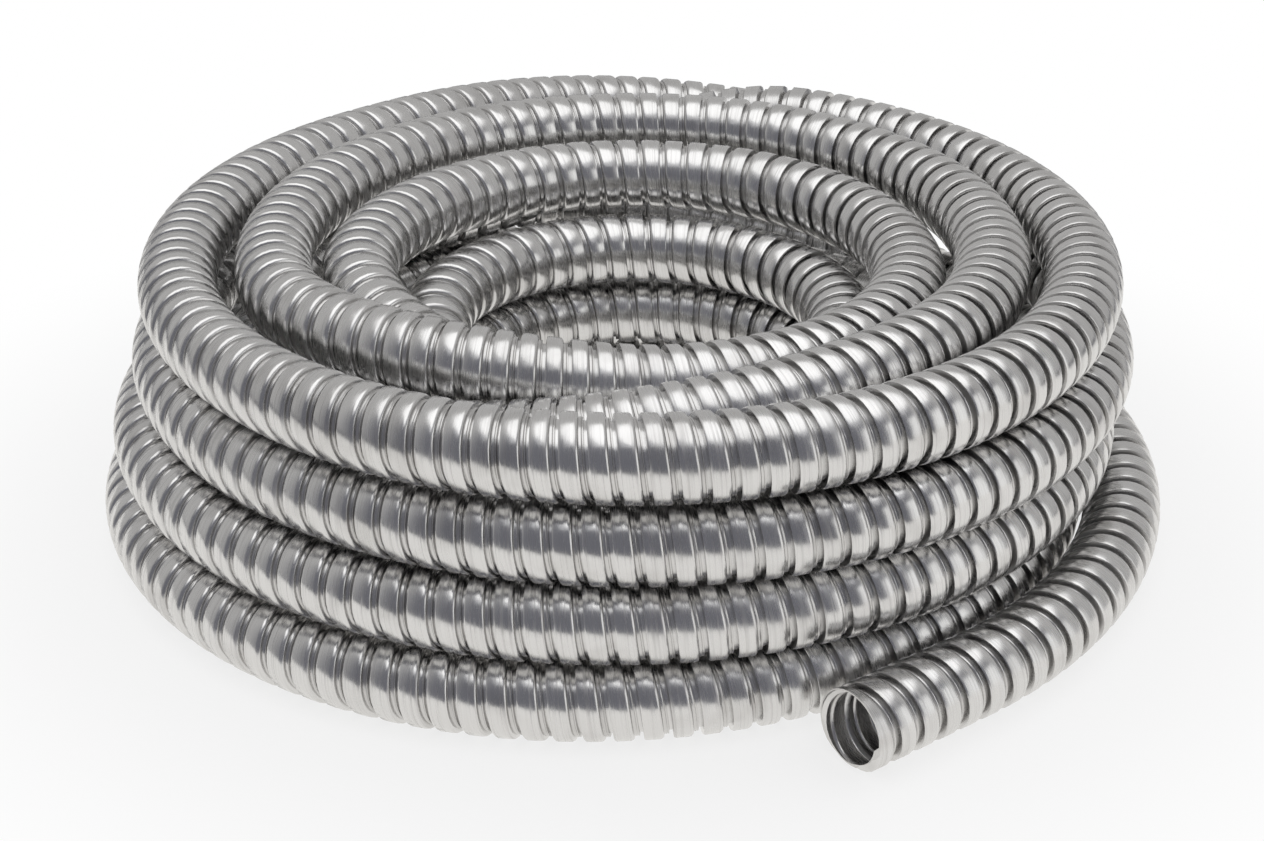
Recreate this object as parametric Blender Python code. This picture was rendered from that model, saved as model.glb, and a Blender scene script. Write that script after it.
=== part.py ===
"""A loose coil of strip-wound stainless steel interlock hose.

One steel strip is rolled to a hooked profile and wound on itself into a
flexible tube.  The tube is laid in three rings of turns round an open eye and
its free end runs out flat at the front right.  Metres, +Z up, floor at z = 0.
"""
import math

import bmesh
import bpy
from mathutils import Vector

# Hose section
HOSE_OD = 0.027            # across the crowns of the winding
GROOVE_DEPTH = 0.0015      # crown top down to the groove floor
FLOOR_WALL = 0.0012        # folded strip between groove floor and bore
CROWN_WIDTH = 0.0048       # flat top of one convolution, along the hose
GROOVE_WIDTH = 0.0023      # floor of the groove between two crowns
SHOULDER = 0.0003          # run of the crown's side wall along the hose
CUT_BAND = 0.0012          # bare band of strip in front of the first crown
PLAIN_STEP = 0.0001        # plain run stands this much above the last crown

# Lie of the coil
COIL_RADIUS = 0.1615       # axis radius of the upper outer turn
END_STRAIGHT = 0.047       # straight length behind the cut mouth
MOUTH_ANGLE = math.radians(36)   # where the free end leaves the ring
LAST_TURN = 11.22          # turns counted from the back, where the hose ends
WOUND_CROWNS = 22          # convolutions modelled behind the mouth
RINGS_PER_TURN = 20
LEAST_LAST_STEP = 0.3      # shortest step to the last ring, in ring steps
BORE_STEP = 1.6            # ring step of the bore in the wound end, in diameters
TRACE_STEPS = 200          # points per turn where the route is measured
NUDGE = 0.001              # part of a turn over which a direction is taken
SIDES = 12

# Free end, then each turn in the order it is laid.  Lengths are in hose
# diameters: ring radius against the upper outer turn, shift to the right,
# shift to the back, oval, level, and how far the crossing that leads into the
# turn swings out and lifts.  The first two numbers are half the length of
# that crossing and where it lies, in turns.
FREE_END = (0.99, -0.28, 0.09, 0.00, 0.00)
TURNS = (
    (0.12, 0.068, 0.12, -0.52, 0.10, -0.08, 0.00, 0.24, 0.01),
    (0.13, 1.028, 0.18, -0.24, 0.16, -0.09, 1.02, -0.07, 0.02),
    (0.13, 2.023, 0.10, 0.01, 0.10, -0.05, 2.04, 0.02, -0.02),
    (0.17, 2.952, 0.00, -0.02, 0.06, 0.08, 3.09, 0.98, 0.05),
    (0.08, 4.007, -1.04, -0.01, 0.01, 0.05, 2.08, 0.24, -0.10),
    (0.15, 4.471, -1.16, 0.01, 0.05, 0.11, 3.16, 0.04, 0.11),
    (0.11, 5.414, -2.33, 0.01, -0.17, 0.03, 2.90, -0.10, 0.09),
    (0.14, 6.380, -3.23, 0.07, -0.10, 0.00, 2.06, 0.00, 0.01),
    (0.17, 7.360, -3.22, 0.08, 0.03, 0.00, 1.02, 0.00, 0.00),
    (0.14, 8.347, -3.18, 0.04, -0.04, 0.00, 0.00, 0.00, 0.02),
    (0.18, 9.346, -1.24, -0.26, 0.05, -0.07, 0.00, 0.00, 0.00),
    (0.13, 10.356, -1.12, -0.14, 0.00, 0.00, 1.05, 0.00, 0.02),
)

CROWN_RADIUS = HOSE_OD / 2 - PLAIN_STEP
GROOVE_RADIUS = CROWN_RADIUS - GROOVE_DEPTH
BORE_RADIUS = GROOVE_RADIUS - FLOOR_WALL
PITCH = CROWN_WIDTH + GROOVE_WIDTH + 2 * SHOULDER
FLAT_DOWN = math.cos(math.pi / SIDES)


def clear_scene():
    for item in list(bpy.data.objects):
        bpy.data.objects.remove(item, do_unlink=True)


def brushed_steel():
    steel = bpy.data.materials.new("brushed_stainless_steel")
    steel.use_nodes = True
    shader = steel.node_tree.nodes["Principled BSDF"]
    shader.inputs["Base Color"].default_value = (0.62, 0.62, 0.63, 1.0)
    shader.inputs["Metallic"].default_value = 1.0
    shader.inputs["Roughness"].default_value = 0.32
    return steel


def lie_at(turn):
    """Ring values at this point of the winding, blended through each crossing."""
    values = list(FREE_END)
    before = FREE_END
    for half, crossing, *row in TURNS:
        lie = row[:5]
        swing, lift = row[5:]
        along = (turn - crossing) / half
        if along >= 1:
            values = list(lie)
        elif along > -1:
            share = (along + 1) / 2
            share = share * share * (3 - 2 * share)
            values = [a + (b - a) * share for a, b in zip(before, lie)]
            bulge = (1 - along * along) ** 2
            values[0] += swing * bulge
            values[4] += lift * bulge
        before = lie
    return values


def axis_point(turn):
    """Hose axis; whole turns lie at the back of the coil."""
    radius, right, back, oval, level = lie_at(turn)
    angle = math.pi + 2 * math.pi * turn
    reach = COIL_RADIUS + HOSE_OD * (radius + oval * math.cos(2 * angle))
    return Vector((
        HOSE_OD * right + reach * math.sin(angle),
        HOSE_OD * back - reach * math.cos(angle),
        HOSE_OD * level + HOSE_OD / 2 * FLAT_DOWN,
    ))


def frame_at(turn):
    """Axis point, direction, sideways and upward unit vectors."""
    ahead = axis_point(turn + NUDGE)
    behind = axis_point(turn - NUDGE)
    along = (ahead - behind).normalized()
    side = along.cross(Vector((0, 0, 1))).normalized()
    return axis_point(turn), along, side, side.cross(along)


class Route:
    """Distance from the mouth along the hose, straight stretch first."""

    def __init__(self):
        self.first_turn = (MOUTH_ANGLE - math.pi) / (2 * math.pi)
        steps = int((LAST_TURN - self.first_turn) * TRACE_STEPS)
        self.turns = [self.first_turn + (LAST_TURN - self.first_turn) * k / steps
                      for k in range(steps + 1)]
        self.lengths = [END_STRAIGHT]
        last = axis_point(self.turns[0])
        for turn in self.turns[1:]:
            point = axis_point(turn)
            self.lengths.append(self.lengths[-1] + (point - last).length)
            last = point

    def turn_at(self, distance):
        low = 0
        high = len(self.lengths) - 1
        while high - low > 1:
            middle = (low + high) // 2
            if self.lengths[middle] <= distance:
                low = middle
            else:
                high = middle
        span = self.lengths[high] - self.lengths[low]
        share = (distance - self.lengths[low]) / span
        return self.turns[low] + (self.turns[high] - self.turns[low]) * share

    def frame(self, distance):
        if distance > END_STRAIGHT:
            return frame_at(self.turn_at(distance))
        place, along, side, up = frame_at(self.first_turn)
        return place + along * (distance - END_STRAIGHT), along, side, up


def on_section(frame, radius, column):
    """Point of the hose wall; columns run down the side facing away."""
    place, _, side, up = frame
    angle = -2 * math.pi * (column + 0.5) / SIDES
    return place + side * (radius * math.cos(angle)) + up * (radius * math.sin(angle))


def crown_rows():
    """Offset along the hose and radius of the four edges of one convolution."""
    return (
        (0.0, GROOVE_RADIUS),
        (SHOULDER, CROWN_RADIUS),
        (SHOULDER + CROWN_WIDTH, CROWN_RADIUS),
        (2 * SHOULDER + CROWN_WIDTH, GROOVE_RADIUS),
    )


class Skin:
    """Points and faces of the one closed solid."""

    def __init__(self):
        self.points = []
        self.faces = []

    def add(self, point):
        self.points.append(point)
        return len(self.points) - 1

    def ring(self, frame, radius, step=1):
        return [self.add(on_section(frame, radius, k)) for k in range(0, SIDES, step)]

    def join(self, one, two):
        count = len(one)
        for k in range(count):
            nxt = (k + 1) % count
            self.faces.append((one[k], one[nxt], two[nxt], two[k]))

    def join_halved(self, full, half):
        """Ring of all sides to a ring that keeps every second corner."""
        count = len(half)
        for k in range(count):
            a = 2 * k
            nxt = (k + 1) % count
            self.faces.append((full[a], full[a + 1], half[k]))
            self.faces.append((full[a + 1], half[nxt], half[k]))
            self.faces.append((full[a + 1], full[(a + 2) % len(full)], half[nxt]))


def wound_end(skin, route):
    """Free end with its helical crowns; returns the cut ring and the last row."""
    rows = crown_rows()
    last_row = 4 * WOUND_CROWNS + 1
    grid = {}
    for row in range(last_row + 5):
        offset, radius = rows[row % 4]
        start = CUT_BAND + PITCH * (row // 4) + offset
        columns = SIDES if row <= last_row else 1
        for column in range(columns):
            frame = route.frame(start + PITCH * column / SIDES)
            grid[row, column] = skin.add(on_section(frame, radius, column))
    for row in range(last_row + 1):
        grid[row, SIDES] = grid[row + 4, 0]
    for row in range(last_row):
        for column in range(SIDES):
            skin.faces.append((grid[row, column], grid[row, column + 1],
                               grid[row + 1, column + 1], grid[row + 1, column]))
    mouth = skin.ring(route.frame(0.0), GROOVE_RADIUS - 2 * PLAIN_STEP)
    for column in range(SIDES):
        skin.faces.append((mouth[column], mouth[(column + 1) % SIDES],
                           grid[0, column + 1], grid[0, column]))
    skin.faces.append((mouth[0], grid[0, 0], grid[1, 0], grid[2, 0], grid[3, 0], grid[4, 0]))
    edge = [grid[last_row, column] for column in range(SIDES + 1)]
    step = [grid[last_row + k, 0] for k in range(5)]
    reach = CUT_BAND + PITCH * (WOUND_CROWNS + 1) + SHOULDER
    return mouth, edge, step, reach


def plain_rings(route, start):
    """Frames of the plain run, all turns cut at the same angles."""
    first = math.ceil(route.turn_at(start + PITCH / 2) * RINGS_PER_TURN)
    last = math.floor(LAST_TURN * RINGS_PER_TURN - LEAST_LAST_STEP)
    turns = [k / RINGS_PER_TURN for k in range(first, last + 1)]
    return [frame_at(turn) for turn in turns + [LAST_TURN]]


def bore_rings(route, start):
    """Frames of the bore inside the wound end."""
    count = max(3, round(start / (BORE_STEP * HOSE_OD)))
    return [route.frame(start * k / count) for k in range(count)]


def hose():
    route = Route()
    skin = Skin()
    mouth, edge, step, reach = wound_end(skin, route)
    plain = plain_rings(route, reach)

    outer = [skin.ring(frame, HOSE_OD / 2) for frame in plain]
    for column in range(SIDES):
        skin.faces.append((edge[column], edge[column + 1],
                           outer[0][(column + 1) % SIDES], outer[0][column]))
    skin.faces.append(tuple(reversed(step)) + (outer[0][0],))
    for one, two in zip(outer, outer[1:]):
        skin.join(one, two)

    bore = bore_rings(route, reach)
    fine = [skin.ring(frame, BORE_RADIUS) for frame in bore[:2]]
    coarse = [skin.ring(frame, BORE_RADIUS, 2) for frame in bore[2:] + plain]
    skin.join(mouth, fine[0])
    skin.join(fine[0], fine[1])
    skin.join_halved(fine[1], coarse[0])
    for one, two in zip(coarse, coarse[1:]):
        skin.join(one, two)
    skin.join_halved(outer[-1], coarse[-1])
    return skin


def build():
    clear_scene()
    skin = hose()
    low = [min(point[axis] for point in skin.points) for axis in range(3)]
    high = [max(point[axis] for point in skin.points) for axis in range(3)]
    foot = Vector(((low[0] + high[0]) / 2, (low[1] + high[1]) / 2, low[2]))
    mesh = bpy.data.meshes.new("interlock_hose")
    mesh.from_pydata([point - foot for point in skin.points], [], skin.faces)
    shape = bmesh.new()
    shape.from_mesh(mesh)
    bmesh.ops.triangulate(shape, faces=shape.faces[:])
    bmesh.ops.recalc_face_normals(shape, faces=shape.faces[:])
    for face in shape.faces:
        face.smooth = True
    shape.to_mesh(mesh)
    shape.free()
    mesh.materials.append(brushed_steel())
    part = bpy.data.objects.new("interlock_hose", mesh)
    bpy.context.scene.collection.objects.link(part)


build()
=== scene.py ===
"""A loose coil of stainless steel interlock hose on a white studio floor."""

import math

import bpy
import numpy as np
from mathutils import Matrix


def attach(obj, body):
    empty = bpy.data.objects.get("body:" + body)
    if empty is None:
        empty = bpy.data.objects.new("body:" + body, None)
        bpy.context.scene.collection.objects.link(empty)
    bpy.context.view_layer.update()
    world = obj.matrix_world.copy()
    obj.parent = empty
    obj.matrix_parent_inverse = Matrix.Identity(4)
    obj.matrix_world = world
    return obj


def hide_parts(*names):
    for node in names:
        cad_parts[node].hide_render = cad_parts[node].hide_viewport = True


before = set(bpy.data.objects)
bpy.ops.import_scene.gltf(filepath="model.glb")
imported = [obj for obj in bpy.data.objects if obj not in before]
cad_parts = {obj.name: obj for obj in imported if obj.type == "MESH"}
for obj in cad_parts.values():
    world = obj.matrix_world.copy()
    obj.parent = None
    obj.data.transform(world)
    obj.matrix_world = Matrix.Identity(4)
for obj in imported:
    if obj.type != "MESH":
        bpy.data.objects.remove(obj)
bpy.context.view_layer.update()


# Camera.  A short telephoto lens in front of the coil and a little over a
# third of a metre above the floor, looking down on it.
HOSE_OD = 0.027
COIL_CENTRE = (0.000135, -0.00828)     # of the upper outer turn, in the row frame
CAMERA_BACK = 0.6765
CAMERA_HEIGHT = 0.3661
CAMERA_DOWN = math.radians(26.56)
LENS_MM = 57.65

camera_data = bpy.data.cameras.new("camera")
camera_data.lens = LENS_MM
camera_data.sensor_width = 36.0
camera_data.clip_start = 0.01
camera_data.clip_end = 50.0
camera = bpy.data.objects.new("camera", camera_data)
camera.location = (COIL_CENTRE[0], COIL_CENTRE[1] - CAMERA_BACK, CAMERA_HEIGHT)
camera.rotation_euler = (math.pi / 2 - CAMERA_DOWN, 0.0, 0.0)
bpy.context.scene.collection.objects.link(camera)
bpy.context.scene.camera = camera


# Hose route.  One hose, laid by hand in rings of turns round an open eye: the
# free end on the floor at the front right, the outer turns from the floor up,
# two turns beside the uppermost, the inner turns downward, then the middle ones.
COIL_RADIUS = 0.1615
END_STRAIGHT = 0.047
MOUTH_ANGLE = math.radians(36)
LAST_TURN = 11.22
SECTION_SIDES = 12
FREE_END = (0.99, -0.28, 0.09, 0.00, 0.00)
# crossing's half length and place, then in hose diameters radius, right, back,
# oval, level, swing, lift
TURNS = (
    (0.12, 0.068, 0.12, -0.52, 0.10, -0.08, 0.00, 0.24, 0.01),
    (0.13, 1.028, 0.18, -0.24, 0.16, -0.09, 1.02, -0.07, 0.02),
    (0.13, 2.023, 0.10, 0.01, 0.10, -0.05, 2.04, 0.02, -0.02),
    (0.17, 2.952, 0.00, -0.02, 0.06, 0.08, 3.09, 0.98, 0.05),
    (0.08, 4.007, -1.04, -0.01, 0.01, 0.05, 2.08, 0.24, -0.10),
    (0.15, 4.471, -1.16, 0.01, 0.05, 0.11, 3.16, 0.04, 0.11),
    (0.11, 5.414, -2.33, 0.01, -0.17, 0.03, 2.90, -0.10, 0.09),
    (0.14, 6.380, -3.23, 0.07, -0.10, 0.00, 2.06, 0.00, 0.01),
    (0.17, 7.360, -3.22, 0.08, 0.03, 0.00, 1.02, 0.00, 0.00),
    (0.14, 8.347, -3.18, 0.04, -0.04, 0.00, 0.00, 0.00, 0.02),
    (0.18, 9.346, -1.24, -0.26, 0.05, -0.07, 0.00, 0.00, 0.00),
    (0.13, 10.356, -1.12, -0.14, 0.00, 0.00, 1.05, 0.00, 0.02),
)


def lie_at(turn):
    """Ring values along the winding, blended through each crossing."""
    values = np.tile(np.array(FREE_END), (len(turn), 1))
    bulges = np.zeros((len(turn), 2))
    before = np.array(FREE_END)
    for half, crossing, *row in TURNS:
        lie = np.array(row[:5])
        along = (turn - crossing) / half
        share = np.clip((along + 1) / 2, 0, 1)
        share = share * share * (3 - 2 * share)
        entered = along > -1
        values[entered] = before + (lie - before) * share[entered, None]
        bulge = np.where(np.abs(along) < 1, (1 - along ** 2) ** 2, 0)
        bulges += bulge[:, None] * np.array(row[5:])
        before = lie
    values[:, 0] += bulges[:, 0]
    values[:, 4] += bulges[:, 1]
    return values


def axis_points(turn):
    """Hose axis in the row frame; whole turns lie at the back of the coil."""
    radius, right, back, oval, level = lie_at(turn).T
    angle = math.pi + 2 * math.pi * turn
    reach = COIL_RADIUS + HOSE_OD * (radius + oval * np.cos(2 * angle))
    flat_down = HOSE_OD / 2 * math.cos(math.pi / SECTION_SIDES)
    return np.stack([
        COIL_CENTRE[0] + HOSE_OD * right + reach * np.sin(angle),
        COIL_CENTRE[1] + HOSE_OD * back - reach * np.cos(angle),
        HOSE_OD * level + flat_down,
    ], axis=1)


ROUTE_STEP = 0.0008            # in turns, about a millimetre of hose
first_turn = (MOUTH_ANGLE - math.pi) / (2 * math.pi)
turns = np.arange(first_turn, LAST_TURN, ROUTE_STEP)
ring_points = axis_points(turns)
out_of_ring = ring_points[0] - ring_points[1]
out_of_ring /= np.linalg.norm(out_of_ring)
straight = np.linspace(END_STRAIGHT, 0, 48)[:-1]
route = np.concatenate([ring_points[0] + straight[:, None] * out_of_ring, ring_points])
turns = np.concatenate([np.full(len(straight), first_turn), turns])
distance = np.concatenate([[0], np.cumsum(np.linalg.norm(np.diff(route, axis=0), axis=1))])
heading = np.gradient(route, distance, axis=0)
heading /= np.linalg.norm(heading, axis=1)[:, None]
bend = np.gradient(heading, distance, axis=0)
sideways = np.cross(heading, (0, 0, 1))
sideways /= np.linalg.norm(sideways, axis=1)[:, None]
upward = np.cross(sideways, heading)
hose_length = distance[-1]


def along_route(table, where):
    """Rows of a route table at these distances from the mouth."""
    columns = [np.interp(where, distance, table[:, k]) for k in range(table.shape[1])]
    return np.stack(columns, axis=-1)


# Hose wall.  A steel strip about 0.5 mm thick, rolled to a hooked profile and
# wound as a right-hand helix: flat crowns with rolled edges, the far one more,
# then the shelf of the winding behind and a dark slot before the next crown.
STRIP_PITCH = 0.0092
CROWN_WIDTH = 0.0054           # that the profile is drawn for; stretched to the pitch
CROWN_RADIUS = 0.0135
SHELF_RADIUS = 0.0120
SLOT_RADIUS = 0.0109
WALL_RUN = 0.00012             # a crown's side wall, along the hose
FRONT_CLOSES = 0.09            # the windings lie closer together at the front
SIDE_OPENS = 0.05              # looser at both sides of the coil
LEVEL_OPENS = 0.03             # looser for each layer nearer the floor
BEND_CLOSES = 0.01             # and closer for each diameter of smaller radius
TOP_LEVEL = 3.1                # of the upper turns, in hose diameters
FRONT_SHARE = 0.67             # crown's share of the pitch at the front
BACK_SHARE = 0.75              # and at the back, where the windings lie apart

# Offsets from the middle of a crown of this width, in metres, with the radius there
EDGE = CROWN_WIDTH / 2
CROWN_ROWS = (
    (-EDGE - WALL_RUN, SLOT_RADIUS),
    (-EDGE, CROWN_RADIUS - 0.00033),
    (-EDGE + 0.00050, CROWN_RADIUS),
    (EDGE - 0.00125, CROWN_RADIUS),
    (EDGE - 0.00095, CROWN_RADIUS - 0.00002),
    (EDGE - 0.00058, CROWN_RADIUS - 0.00015),
    (EDGE - 0.00025, CROWN_RADIUS - 0.00040),
    (EDGE, CROWN_RADIUS - 0.00078),
    (EDGE + WALL_RUN, SHELF_RADIUS),
)
# Shares of the way from this crown to the next one, with the radius there
GAP_ROWS = (
    (0.28, SHELF_RADIUS),
    (0.35, SHELF_RADIUS - 0.00015),
    (0.42, SHELF_RADIUS),
    (0.54, SHELF_RADIUS),
    (0.59, SLOT_RADIUS),
)
# Lighter profile for turns that lie inside the coil
PLAIN_CROWN_ROWS = (CROWN_ROWS[0], CROWN_ROWS[2], CROWN_ROWS[5], CROWN_ROWS[8])
PLAIN_GAP_ROWS = (GAP_ROWS[3], GAP_ROWS[4])

ring_values = lie_at(turns)
closeness = 1 + LEVEL_OPENS * (TOP_LEVEL - ring_values[:, 4]) + BEND_CLOSES * ring_values[:, 0]
azimuth = math.pi + 2 * math.pi * turns
pitch = closeness * STRIP_PITCH
pitch *= 1 - FRONT_CLOSES * np.cos(azimuth) - SIDE_OPENS * np.cos(2 * azimuth)
windings = np.concatenate([[0], np.cumsum(np.diff(distance) / pitch[1:])])
MOUTH_PHASE = 0.686            # where in the profile the mouth is cut


def middle_of_crown(winding):
    """Distance from the mouth, run on evenly in front of it."""
    winding = winding - MOUTH_PHASE
    return np.interp(winding, windings, distance) + np.minimum(winding, 0) * pitch[0]


def wall_grid(first, last, sides, crown_rows, gap_rows):
    """Distance, radius, angle and place on the strip of the wall's points, row by row."""
    winding = np.arange(first, last + 2)[:, None]
    angle = -2 * math.pi * (np.arange(sides)[None, :] + 0.5) / sides
    turn = winding + np.arange(sides)[None, :] / sides
    here = middle_of_crown(turn)
    there = middle_of_crown(turn + 1)

    def stretch(where):
        """How much longer the wall is here than the hose axis beside it."""
        outward = (along_route(sideways, where) * np.cos(angle)[..., None]
                   + along_route(upward, where) * np.sin(angle)[..., None])
        return 1 - CROWN_RADIUS * np.sum(along_route(bend, where) * outward, axis=-1)

    opened = stretch(here)
    in_front = (1 + np.cos(np.interp(here, distance, azimuth))) / 2
    crown_share = BACK_SHARE + (FRONT_SHARE - BACK_SHARE) * in_front
    width = crown_share * (there - here) * opened / CROWN_WIDTH
    end = here + crown_rows[-1][0] * width / opened
    start = there + crown_rows[0][0] * width / stretch(there)
    places = [here + offset * width / opened for offset, _ in crown_rows]
    places += [end + (start - end) * share for share, _ in gap_rows]
    across = [offset for offset, _ in crown_rows]
    across += [EDGE * (1 + share) for share, _ in gap_rows]
    shape = (len(winding) * len(places), sides)
    place = np.stack(places, axis=1).reshape(shape)
    radius = np.tile(np.array([r for _, r in crown_rows + gap_rows]), len(winding))
    radius = np.repeat(radius[:, None], sides, axis=1)
    across = np.repeat(np.tile(np.array(across), len(winding))[:, None], sides, axis=1)
    along = np.repeat(turn * 2 * math.pi * CROWN_RADIUS, len(places), axis=0)
    angle = np.repeat(angle, shape[0], axis=0)
    return np.stack([place, radius, angle, along, across], axis=-1)


def to_space(grid):
    """Wall points in the row frame."""
    place, radius, angle = grid[:, 0], grid[:, 1], grid[:, 2]
    outward = (along_route(sideways, place) * np.cos(angle)[:, None]
               + along_route(upward, place) * np.sin(angle)[:, None])
    return along_route(route, place) + outward * radius[:, None]


def helical_wall(first, last, sides, crown_rows, gap_rows):
    """Points and faces between two windings; the last column wraps into the next winding."""
    rows = len(crown_rows) + len(gap_rows)
    grid = wall_grid(first, last, sides, crown_rows, gap_rows)
    body = (last - first) * rows
    points = np.concatenate([grid[:body + 1].reshape(-1, 5), grid[body + 1:body + 1 + rows, 0]])
    index = np.arange((body + 1) * sides).reshape(body + 1, sides)
    tail = (body + 1) * sides + np.arange(rows)
    wrap = np.concatenate([index[rows:, 0], tail])
    index = np.concatenate([index, wrap[:, None]], axis=1)
    quads = np.stack([index[:-1, :-1], index[:-1, 1:], index[1:, 1:], index[1:, :-1]], axis=-1)
    return points, quads.reshape(-1, 4)


def cut_square(grid, points, quads, sides):
    """Cuts the wall at the mouth; returns what is left and the cut edge's radius."""
    edge = np.array([np.interp(0, grid[:, k, 0], grid[:, k, 1]) for k in range(sides)])
    side = np.round(-points[:, 2] * sides / (2 * math.pi) - 0.5).astype(int) % sides
    outside = points[:, 0] <= 0
    points[outside, 0] = 0
    points[outside, 1] = edge[side[outside]]
    return points, quads[~outside[quads].all(axis=1)], edge


def hose_mesh(name, points, quads, material):
    """Object with smooth crowns, sharp steps and its place on the strip stored."""
    used, quads = np.unique(quads, return_inverse=True)
    points, quads = points[used], quads.reshape(-1, 4)
    mesh = bpy.data.meshes.new(name)
    mesh.from_pydata(to_space(points).tolist(), [], quads.tolist())
    strip = mesh.attributes.new("strip", "FLOAT_VECTOR", "POINT")
    place = np.stack([points[:, 3], points[:, 4], np.zeros(len(points))], axis=1)
    strip.data.foreach_set("vector", place.ravel())
    mesh.shade_smooth()
    mesh.set_sharp_from_angle(angle=SHARP_STEP)
    mesh.materials.append(material)
    piece = bpy.data.objects.new(name, mesh)
    bpy.context.scene.collection.objects.link(piece)
    return piece


# Stainless steel.  Cold-rolled bright strip, drawn through rollers, so fine
# scratches run along it; handling leaves soft dull patches and a brown tinge.
SHARP_STEP = math.radians(40)
STEEL_COLOUR = (0.705, 0.70, 0.695)
# The dull colour serves the handling patches and also the painted shade on the recessed shelf.
STEEL_DULL_AND_SHADE = (0.50, 0.49, 0.48)
SHELF_SHADE_FADE = 0.0003            # over which the recessed shelf takes its painted shade, a duller tone


class Socket:
    """One output of a shader node, with arithmetic."""

    def __init__(self, tree, output):
        self.tree = tree
        self.output = output

    def node(self, kind, output=0, settings=None, **inputs):
        """Adds a node; inputs are named with spaces as underscores, or numbered i0, i1."""
        made = self.tree.nodes.new(kind)
        for key, value in (settings or {}).items():
            setattr(made, key, value)
        for key, value in inputs.items():
            place = int(key[1:]) if key[1:].isdigit() else key.replace("_", " ")
            socket = made.inputs[place]
            if isinstance(value, Socket):
                self.tree.links.new(value.output, socket)
            else:
                socket.default_value = value
        return Socket(self.tree, made.outputs[output])

    def maths(self, operation, one, two):
        return self.node("ShaderNodeMath", settings={"operation": operation}, i0=one, i1=two)

    def __add__(self, other):
        return self.maths("ADD", self, other)

    def __mul__(self, other):
        return self.maths("MULTIPLY", self, other)

    def __rsub__(self, other):
        return self.maths("SUBTRACT", other, self)

    __radd__ = __add__
    __rmul__ = __mul__

    def ramp(self, low, high):
        """0 up to the low value and 1 from the high one, soft at both ends."""
        return self.node("ShaderNodeMapRange", settings={"interpolation_type": "SMOOTHSTEP"},
                         Value=self, From_Min=low, From_Max=high)

    def mix(self, one, two):
        """Colour between two, by this socket."""
        return self.node("ShaderNodeMix", output=2, settings={"data_type": "RGBA"},
                         i0=self, i6=one, i7=two)

    def scaled(self, factors):
        return self.node("ShaderNodeVectorMath", settings={"operation": "MULTIPLY"}, i0=self, i1=factors)

    def noise(self, scale, detail=2.0, roughness=0.5):
        return self.node("ShaderNodeTexNoise", Vector=self, Scale=scale, Detail=detail,
                         Roughness=roughness)


def new_material(name):
    material = bpy.data.materials.new(name)
    material.use_nodes = True
    tree = material.node_tree
    return material, tree.nodes["Principled BSDF"], Socket(tree, None)


def brushed_steel():
    material, shader, start = new_material("brushed_stainless_steel")
    strip = start.node("ShaderNodeAttribute", output=1, settings={"attribute_name": "strip"})
    place = start.node("ShaderNodeTexCoord", output=3)
    scratches = strip.scaled((30.0, 5200.0, 1.0)).noise(1.0, 3.0, 0.6)
    streaks = strip.scaled((16.0, 1500.0, 1.0)).noise(1.0, 3.0)
    smears = strip.scaled((90.0, 700.0, 1.0)).noise(1.0, 2.0)
    patches = place.noise(55.0, 3.0)
    clouds = place.noise(16.0, 2.0)
    across = start.node("ShaderNodeSeparateXYZ", output=1, Vector=strip)
    # Painted shade: the recessed shelf and slot between the crowns are mixed a share towards the dull
    # colour.
    shelf_shade = across.ramp(EDGE, EDGE + SHELF_SHADE_FADE)
    tarnish_and_shelf_shade = patches.ramp(0.48, 0.72) * 0.45 + streaks.ramp(0.45, 0.75) * 0.40 + shelf_shade * 0.40
    colour = tarnish_and_shelf_shade.mix((*STEEL_COLOUR, 1), (*STEEL_DULL_AND_SHADE, 1))
    roughness = 0.155 + scratches * 0.08 + streaks.ramp(0.45, 0.75) * 0.16
    roughness = roughness + smears.ramp(0.5, 0.8) * 0.12 + clouds.ramp(0.4, 0.7) * 0.06
    tree = material.node_tree
    tree.links.new(colour.output, shader.inputs["Base Color"])
    tree.links.new(roughness.output, shader.inputs["Roughness"])
    shader.inputs["Metallic"].default_value = 1.0
    dents = place.noise(190.0, 2.0)
    height = scratches * 0.5 + streaks * 0.4 + dents * 2.0
    bump = start.node("ShaderNodeBump", Strength=0.13, Distance=0.0002, Height=height)
    tree.links.new(bump.output, shader.inputs["Normal"])
    return material


# Hose pieces.  The hose is one piece; its mesh is cut at whole windings only
# to keep each mesh to a fair size.  Turns inside the coil have a lighter wall.
steel = brushed_steel()
OUTER_SIDES = 32
HIDDEN_SIDES = 16


def winding_at(turn):
    """Whole winding nearest to this turn of the coil."""
    return int(round(float(np.interp(turn, turns[len(straight):], windings[len(straight):]))))


def declare(piece, first, last):
    """Hides the CAD hose and attaches this mesh to the root body."""
    ends = middle_of_crown(np.array([first + 0.5, last + 0.5]))
    steps = max(8, int((ends[1] - ends[0]) / (HOSE_OD / 3)))
    ends[1] - ends[0]
    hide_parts("interlock_hose")
    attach(piece, "root")


# Free end.  The hose is cut square; the mouth shows the edge of the strip, a
# step where the crown runs out, and inside it the hooked folds of each winding.
STRIP_FOLD = 0.0005            # thickness of the strip at the cut
BORE_RADIUS = 0.0107
BORE_WINDINGS = 14             # with a modelled inside, as far in as one can look
FOLD_RUN = 0.0002              # step along the hose in the curve of a fold
HOLLOW_RADIUS = CROWN_RADIUS - STRIP_FOLD
UNDER_SHELF = SHELF_RADIUS - STRIP_FOLD
BORE_CROWN_ROWS = (
    (-EDGE + FOLD_RUN, BORE_RADIUS),
    (-EDGE + 2 * FOLD_RUN, HOLLOW_RADIUS - 0.0004),
    (-EDGE + 4 * FOLD_RUN, HOLLOW_RADIUS),
    (EDGE - 6 * FOLD_RUN, HOLLOW_RADIUS),
    (EDGE - 4 * FOLD_RUN, HOLLOW_RADIUS - 0.0003),
    (EDGE - 2 * FOLD_RUN, UNDER_SHELF),
)
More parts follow.
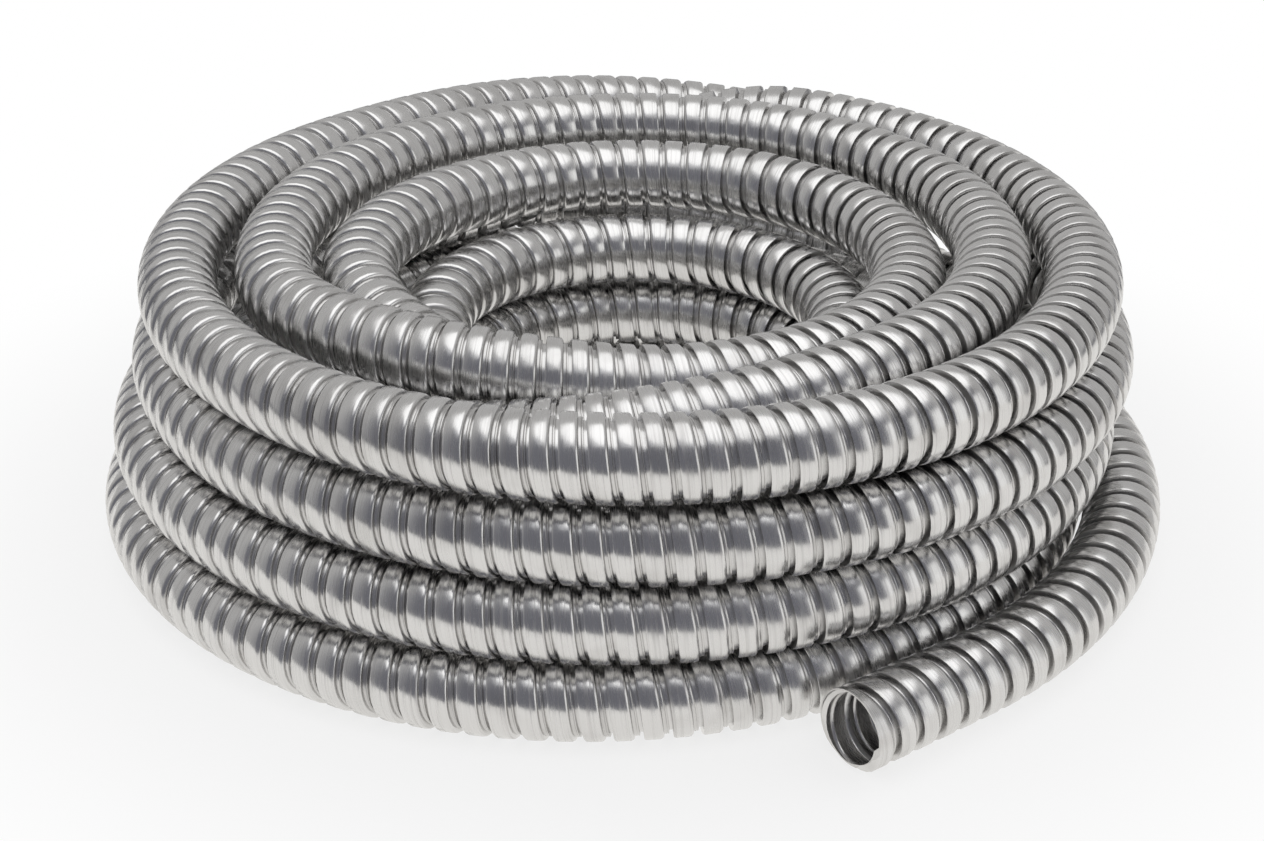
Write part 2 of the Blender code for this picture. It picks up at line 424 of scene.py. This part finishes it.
BORE_GAP_ROWS = (
    (0.42, UNDER_SHELF),
    (0.50, BORE_RADIUS + 0.0002),
    (0.62, BORE_RADIUS),
    (0.80, BORE_RADIUS),
)


def cut_wall(last, crown_rows, gap_rows):
    """Wall from the mouth to a winding, cut square at the mouth."""
    before, past = -2, 2       # windings on either side of the cut
    points, quads = helical_wall(before, last, OUTER_SIDES, crown_rows, gap_rows)
    grid = wall_grid(before, past, OUTER_SIDES, crown_rows, gap_rows)
    return cut_square(grid, points, quads, OUTER_SIDES)


def rim(outer_edge, inner_edge):
    """Flat edge of the strip at the mouth."""
    side = np.arange(OUTER_SIDES)
    angle = -2 * math.pi * (side + 0.5) / OUTER_SIDES
    rings = [np.stack([0 * angle, edge, angle, 0 * angle, edge], axis=1)
             for edge in (outer_edge, inner_edge)]
    after = (side + 1) % OUTER_SIDES
    quads = np.stack([side, side + OUTER_SIDES, after + OUTER_SIDES, after], axis=1)
    return np.concatenate(rings), quads


FREE_END_TURNS = 1.07
free_end_last = winding_at(FREE_END_TURNS)
outer_points, outer_quads, outer_edge = cut_wall(free_end_last, CROWN_ROWS, GAP_ROWS)
bore_points, bore_quads, bore_edge = cut_wall(BORE_WINDINGS, BORE_CROWN_ROWS, BORE_GAP_ROWS)
rim_points, rim_quads = rim(outer_edge, bore_edge)
quads = np.concatenate([
    outer_quads,
    bore_quads[:, ::-1] + len(outer_points),
    rim_quads + len(outer_points) + len(bore_points),
])
piece = hose_mesh("hose_free_end", np.concatenate([outer_points, bore_points, rim_points]), quads, steel)
declare(piece, 0, free_end_last)


# Turns behind the free end, in the order they are laid, each from its first
# to its last turn.  Those that lie out of sight have fewer sides and rows.
STRETCHES = (
    ("hose_lower_turns", FREE_END_TURNS, 2.40, OUTER_SIDES, CROWN_ROWS, GAP_ROWS),
    ("hose_upper_turns", 2.40, 3.93, OUTER_SIDES, CROWN_ROWS, GAP_ROWS),
    ("hose_crossing_turn", 3.93, 4.36, HIDDEN_SIDES, PLAIN_CROWN_ROWS, PLAIN_GAP_ROWS),
    ("hose_top_turns", 4.36, 6.30, OUTER_SIDES, CROWN_ROWS, GAP_ROWS),
    ("hose_inner_turns", 6.30, 9.20, OUTER_SIDES, CROWN_ROWS, GAP_ROWS),
    ("hose_middle_turns", 9.20, 11.20, HIDDEN_SIDES, PLAIN_CROWN_ROWS, PLAIN_GAP_ROWS),
)
for name, start, stop, sides, crown_rows, gap_rows in STRETCHES:
    first = winding_at(start)
    last = winding_at(stop)
    points, quads = helical_wall(first, last, sides, crown_rows, gap_rows)
    piece = hose_mesh(name, points, quads, steel)
    declare(piece, first, last)


# Floor.  A wide pale sweep that keeps the coil's shadow and fades to white.
FLOOR_HALF = 6.0
FLOOR_DROP = 0.0006            # below the row's ground, so that no crown dips into it
FLOOR_COLOUR = (0.86, 0.86, 0.86, 1)
FLOOR_GLOW = 0.74              # share of white that the camera sees beside the coil
SHADOW_NEAR = 0.20             # full white from the far one of these on
SHADOW_FAR = 0.34
TABLE_COLOUR = (1.0, 0.985, 0.955, 1)
TABLE_GLOW = 0.84              # share of the table's colour that the steel sees
TABLE_NEAR = 0.52              # it sees the table out to here
TABLE_FAR = 0.80               # and the dark room from here on
ROOM_DARK = (0.17, 0.17, 0.185, 1)
PANEL_SIDE = math.radians(61)  # but for the way to the panel at the front right
PANEL_HALF = math.radians(13)
PANEL_SOFT = math.radians(9)
bpy.ops.mesh.primitive_plane_add(size=2 * FLOOR_HALF, location=(0, 0, -FLOOR_DROP))
floor = bpy.context.object
floor.name = "floor"
material, shader, start = new_material("white_floor")
tree = material.node_tree
shader.inputs["Base Color"].default_value = FLOOR_COLOUR
shader.inputs["Roughness"].default_value = 0.9
shader.inputs["Specular IOR Level"].default_value = 0.0
glow = start.node("ShaderNodeEmission", Color=(1, 1, 1, 1), Strength=1.0)
seen = start.node("ShaderNodeLightPath", output=0)
mirrored = start.node("ShaderNodeLightPath", output=3)
place = start.node("ShaderNodeTexCoord", output=3)
radial = start.node("ShaderNodeVectorMath", output=1, settings={"operation": "LENGTH"}, i0=place)
share = FLOOR_GLOW + radial.ramp(SHADOW_NEAR, SHADOW_FAR) * (1 - FLOOR_GLOW)
outward = start.node("ShaderNodeVectorMath", settings={"operation": "NORMALIZE"}, i0=place)
facing = start.node("ShaderNodeVectorMath", output=1, settings={"operation": "DOT_PRODUCT"}, i0=outward,
                    i1=(math.sin(PANEL_SIDE), -math.cos(PANEL_SIDE), 0))
to_panel = facing.ramp(math.cos(PANEL_HALF + PANEL_SOFT), math.cos(PANEL_HALF))
table = 1.0 - radial.ramp(TABLE_NEAR, TABLE_FAR) * (1.0 - to_panel)
colour = mirrored.mix((1, 1, 1, 1), table.mix(ROOM_DARK, TABLE_COLOUR))
tree.links.new(colour.output, glow.output.node.inputs["Color"])
lit = seen * share + mirrored * (TABLE_GLOW + (1 - TABLE_GLOW) * radial.ramp(TABLE_NEAR, TABLE_FAR))
mixed = start.node("ShaderNodeMixShader", i0=lit, i1=Socket(tree, shader.outputs[0]), i2=glow)
tree.links.new(mixed.output, tree.nodes["Material Output"].inputs["Surface"])
floor.data.materials.append(material)


# Light.  One wide softbox overhead in a room that is white to the camera and
# the steel.  A dark curtain round the set, seen in the steel alone, makes the
# dark bands, and a bright panel in it lights the right edges of the crowns.
SOFTBOX_SIDE = 1.65
SOFTBOX_HEIGHT = 1.35
SOFTBOX_WATTS = 3.8
SOFTBOX_FORWARD = 0.19
box_light = bpy.data.lights.new("softbox", "AREA")
box_light.shape = "SQUARE"
box_light.size = SOFTBOX_SIDE
box_light.energy = SOFTBOX_WATTS
softbox = bpy.data.objects.new("softbox", box_light)
softbox.location = (0, -SOFTBOX_FORWARD, SOFTBOX_HEIGHT)
bpy.context.scene.collection.objects.link(softbox)

CURTAIN_RADIUS = 1.9
CURTAIN_TOP = 3.4
CURTAIN_SIDES = 96
BACK_FROM = -1.5               # depth where the cloth starts to get lighter
BACK_FULL = 0.4
CURTAIN_FRONT = (0.18, 0.182, 0.205, 1)
CURTAIN_BACK = (0.52, 0.515, 0.51, 1)
PANEL_TOP = 1.3
PANEL_FADE = 0.3               # height over which the panel gives way to cloth
PANEL_COLOUR = (1.05, 1.05, 1.04, 1)
bpy.ops.mesh.primitive_cylinder_add(vertices=CURTAIN_SIDES, radius=CURTAIN_RADIUS, depth=CURTAIN_TOP,
                                    end_fill_type="NOTHING", location=(0, 0, CURTAIN_TOP / 2))
curtain = bpy.context.object
curtain.name = "curtain"
material, shader, start = new_material("dark_curtain")
tree = material.node_tree
place = start.node("ShaderNodeTexCoord", output=3)
depth = start.node("ShaderNodeSeparateXYZ", output=1, Vector=place)
back = depth.ramp(BACK_FROM, BACK_FULL)
facing = start.node("ShaderNodeVectorMath", output=1, settings={"operation": "DOT_PRODUCT"}, i0=place,
                    i1=(math.sin(PANEL_SIDE) / CURTAIN_RADIUS, -math.cos(PANEL_SIDE) / CURTAIN_RADIUS, 0))
height = start.node("ShaderNodeSeparateXYZ", output=2, Vector=place)
panel = facing.ramp(math.cos(PANEL_HALF + PANEL_SOFT), math.cos(PANEL_HALF))
panel = panel * (1.0 - height.ramp(PANEL_TOP - CURTAIN_TOP / 2, PANEL_TOP + PANEL_FADE - CURTAIN_TOP / 2))
cloth = start.node("ShaderNodeEmission", Strength=1.0,
                   Color=panel.mix(back.mix(CURTAIN_FRONT, CURTAIN_BACK), PANEL_COLOUR))
tree.links.new(cloth.output, tree.nodes["Material Output"].inputs["Surface"])
curtain.data.materials.append(material)
curtain.visible_camera = False
curtain.visible_diffuse = False
curtain.visible_shadow = False

ROOM_WHITE = (1, 1, 1, 1)
ROOM_LIGHT = (0.78, 0.78, 0.785, 1)    # what falls on dull surfaces
world = bpy.data.worlds.new("studio")
bpy.context.scene.world = world
world.use_nodes = True
tree = world.node_tree
start = Socket(tree, None)
seen = start.node("ShaderNodeLightPath", output=0)
mirrored = start.node("ShaderNodeLightPath", output=3)
through = start.node("ShaderNodeLightPath", output=6)
white = (seen + mirrored + through).ramp(0.0, 1.0)
room = tree.nodes["Background"]
tree.links.new(white.mix(ROOM_LIGHT, ROOM_WHITE).output, room.inputs["Color"])
bpy.context.scene.view_settings.view_transform = "Standard"
